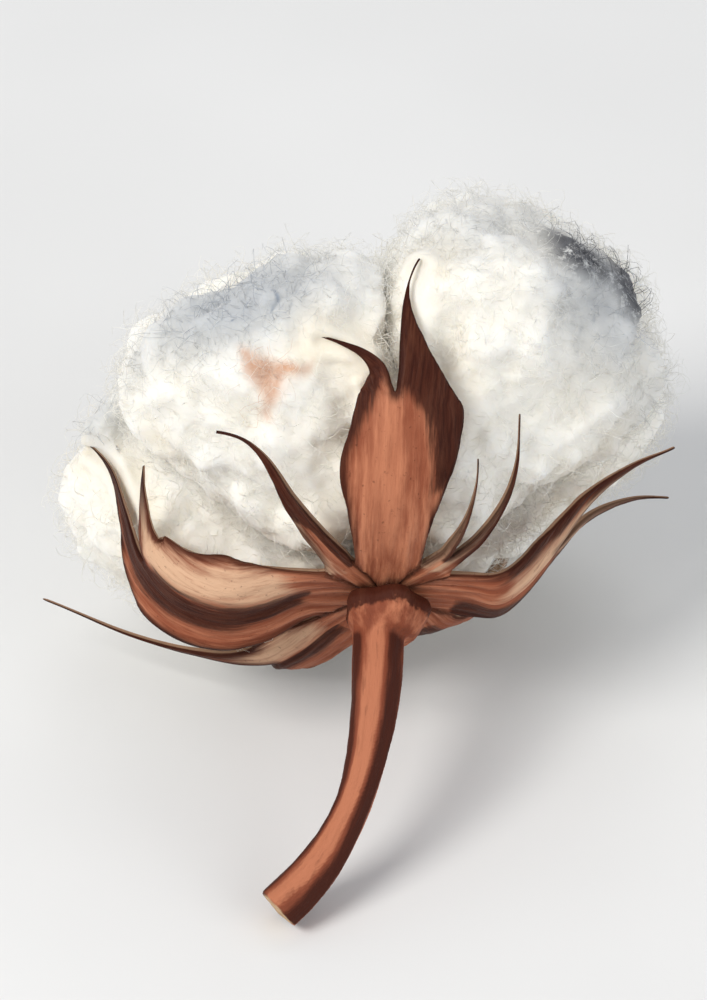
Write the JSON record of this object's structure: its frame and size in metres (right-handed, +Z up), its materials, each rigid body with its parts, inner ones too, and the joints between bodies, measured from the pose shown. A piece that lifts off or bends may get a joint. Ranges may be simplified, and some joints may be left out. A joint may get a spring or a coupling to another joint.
{
  "type": "cotton boll",
  "caption": "Open cotton boll as picked: fluffy white locks of cotton in a dry brown split bur with pointed valves, on a knobbed, curved stalk.",
  "frame": {"origin": "on the surface the boll lies on, under the middle of its bounding box", "axes": "+Z up; the stalk points towards -Y and down to the surface, and the open cotton faces +Y and slightly up"},
  "size_m": [0.0576, 0.0628, 0.0491],
  "materials": {
    "cotton": "matte",
    "bur": "matte",
    "stalk": "matte"
  },
  "bodies": {
    "root": {"stalk": "stalk", "bur": "bur", "lock_front_left": "cotton", "lock_front_right": "cotton", "lock_left": "cotton", "lock_right": "cotton", "lock_under": "cotton"}
  },
  "joints": []
}
